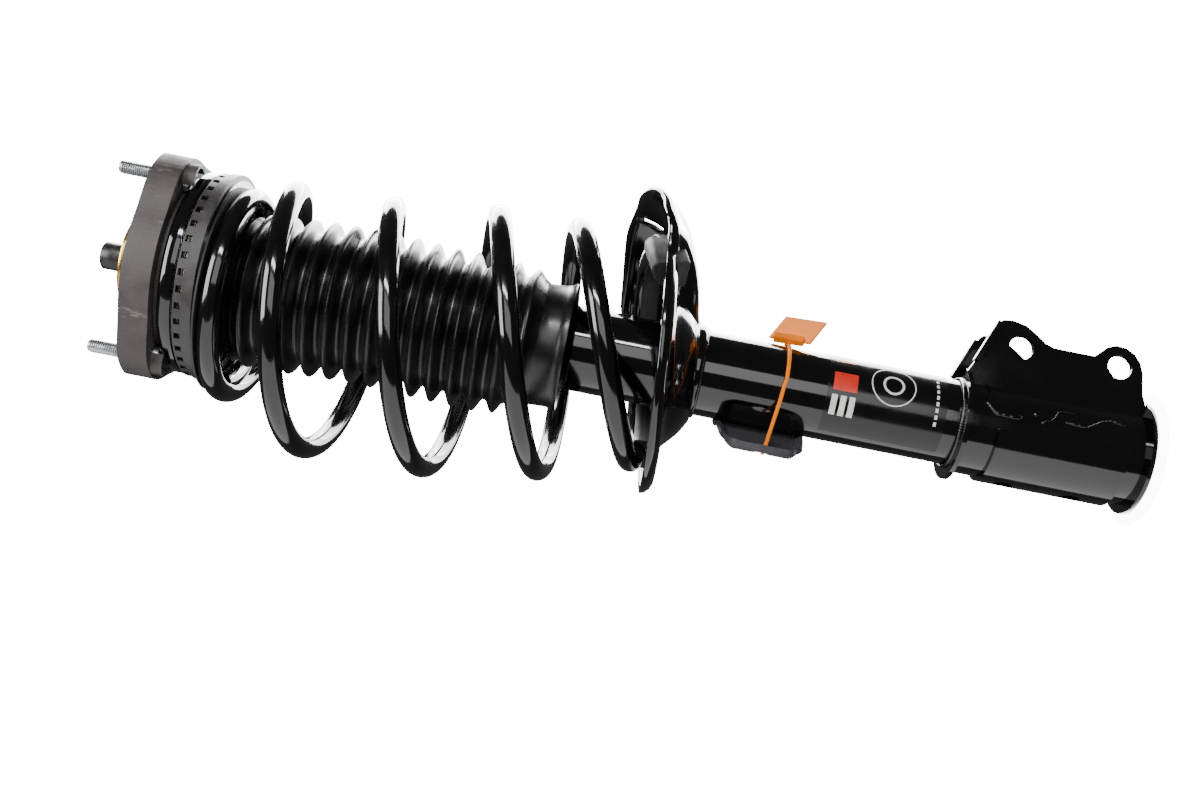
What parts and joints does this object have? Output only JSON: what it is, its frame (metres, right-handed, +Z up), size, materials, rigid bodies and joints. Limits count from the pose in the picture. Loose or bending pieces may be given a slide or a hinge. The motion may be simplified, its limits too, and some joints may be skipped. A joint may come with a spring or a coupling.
{
  "type": "front suspension strut assembly",
  "caption": "Ready-to-fit suspension strut: studded rubber top mount on a ball bearing, side-load coil spring, dust boot, twin-tube damper, stabiliser tab and forked knuckle bracket.",
  "frame": {"origin": "on the strut axis, at the top mount's mating face, in the middle of the stud circle", "axes": "+Z up the strut axis out of the top mount, +X the way the knuckle bracket's two ears point, +Y across the ears"},
  "size_m": [0.1964, 0.1649, 0.624],
  "materials": {
    "mount_casting": "matt grey-brown coated casting with handling scuffs",
    "rubber": "moulded black rubber, dull",
    "boot_rubber": "satin black moulded rubber",
    "bright_steel": "turned bare steel",
    "zinc_steel": "bright zinc plated thread",
    "yellow_zinc": "yellow zinc plated pressing",
    "dark_steel": "phosphated dark steel, satin",
    "chromed_rod": "hard chrome, ground",
    "black_paint": "gloss black stove enamel",
    "spring_coating": "gloss black powder coating",
    "bearing_plastic": "dark grey glass-filled plastic",
    "cage_plastic": "natural nylon",
    "foam": "cream cellular polyurethane",
    "sintered_iron": "sintered iron, oiled",
    "ptfe_band": "filled low-friction band",
    "label_print": "black laminated film with printed orange, red and white blocks",
    "orange_plastic": "orange translucent nylon"
  },
  "bodies": {
    "top_mount": {"mount_housing": "mount_casting", "mount_rubber": "rubber", "mount_inner_sleeve": "bright_steel", "mount_studs": "zinc_steel", "mount_lower_plate": "black_paint", "rebound_washer": "yellow_zinc", "rod_nut": "bright_steel", "rod_cap": "dark_steel", "piston_rod": "chromed_rod", "bearing_upper_race": "bright_steel", "bump_stop_cup": "bearing_plastic", "bump_stop": "foam", "piston": "sintered_iron", "piston_band": "ptfe_band", "piston_nut": "bright_steel", "rebound_stop": "dark_steel"},
    "ball_cage": {"bearing_balls": "bright_steel", "bearing_cage": "cage_plastic"},
    "spring_seat": {"bearing_lower_housing": "bearing_plastic", "bearing_lower_race": "bright_steel", "upper_spring_seat": "black_paint", "upper_spring_pad": "rubber", "dust_boot": "boot_rubber", "coil_spring": "spring_coating"},
    "damper_body": {"strut_tube": "black_paint", "bump_cap": "black_paint", "rod_seal": "rubber", "rod_guide": "sintered_iron", "pressure_tube": "bright_steel", "base_valve": "sintered_iron", "tube_end_cap": "black_paint", "lower_spring_seat": "black_paint", "seat_collar": "black_paint", "lower_spring_pad": "rubber", "knuckle_bracket": "black_paint", "bracket_brace": "black_paint", "link_bracket": "black_paint", "label_film": "label_print", "tie_strap": "orange_plastic", "tie_tag": "orange_plastic"}
  },
  "joints": [
    {"name": "steering_bearing", "type": "hinge", "parent": "top_mount", "child": "spring_seat", "pos_m": [0, 0, -0.0305], "axis": [0, 0, 1], "continuous": true},
    {"name": "cage_turn", "type": "hinge", "parent": "top_mount", "child": "ball_cage", "pos_m": [0, 0, -0.0305], "axis": [0, 0, 1], "continuous": true},
    {"name": "strut_stroke", "type": "slide", "parent": "spring_seat", "child": "damper_body", "axis": [0, 0, 1], "range_m": [0, 0.15], "stiffness_N_per_m": 25000, "springref_m": -0.008, "deforming": ["coil_spring", "dust_boot", "bump_stop"]}
  ],
  "couplings": [
    {"joint": "cage_turn", "follows": "steering_bearing", "ratio": 0.5}
  ]
}
